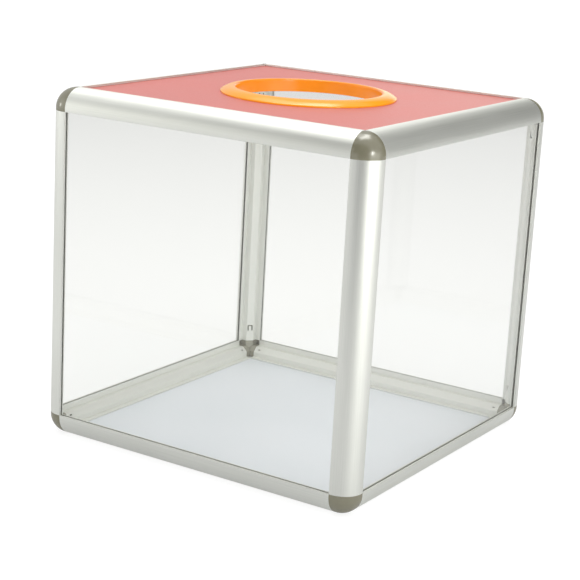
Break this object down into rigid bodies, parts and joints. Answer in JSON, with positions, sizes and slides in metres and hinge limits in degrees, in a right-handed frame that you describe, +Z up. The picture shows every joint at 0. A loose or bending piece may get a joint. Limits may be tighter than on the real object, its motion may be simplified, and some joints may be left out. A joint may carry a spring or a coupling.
{
  "type": "donation box",
  "caption": "Clear box with a rounded metal edge frame, plastic corners and a coloured top with a ringed hand hole, for dropping in and drawing out slips or gifts.",
  "frame": {"origin": "centre of the footprint, on the surface that the box stands on", "axes": "+Z up, through the hand hole; +Y from the front face to the rear face; +X to the right"},
  "size_m": [0.3, 0.3, 0.2932],
  "materials": {
    "aluminium_frame": "satin silver anodised extrusion",
    "corner_plastic": "olive grey moulded plastic, semi-gloss",
    "clear_acrylic": "clear polished sheet",
    "red_top_sheet": "salmon red sheet, semi-gloss",
    "white_base_sheet": "cool white sheet",
    "orange_plastic": "glossy orange moulded plastic"
  },
  "bodies": {
    "root": {"base_panel": "white_base_sheet", "bottom_rail_front": "aluminium_frame", "bottom_rail_left": "aluminium_frame", "bottom_rail_rear": "aluminium_frame", "bottom_rail_right": "aluminium_frame", "corner_bottom_front_left": "corner_plastic", "corner_bottom_front_right": "corner_plastic", "corner_bottom_rear_left": "corner_plastic", "corner_bottom_rear_right": "corner_plastic", "corner_top_front_left": "corner_plastic", "corner_top_front_right": "corner_plastic", "corner_top_rear_left": "corner_plastic", "corner_top_rear_right": "corner_plastic", "hand_hole_ring": "orange_plastic", "post_front_left": "aluminium_frame", "post_front_right": "aluminium_frame", "post_rear_left": "aluminium_frame", "post_rear_right": "aluminium_frame", "side_panel_front": "clear_acrylic", "side_panel_left": "clear_acrylic", "side_panel_rear": "clear_acrylic", "side_panel_right": "clear_acrylic", "top_panel": "red_top_sheet", "top_rail_front": "aluminium_frame", "top_rail_left": "aluminium_frame", "top_rail_rear": "aluminium_frame", "top_rail_right": "aluminium_frame"}
  },
  "joints": []
}
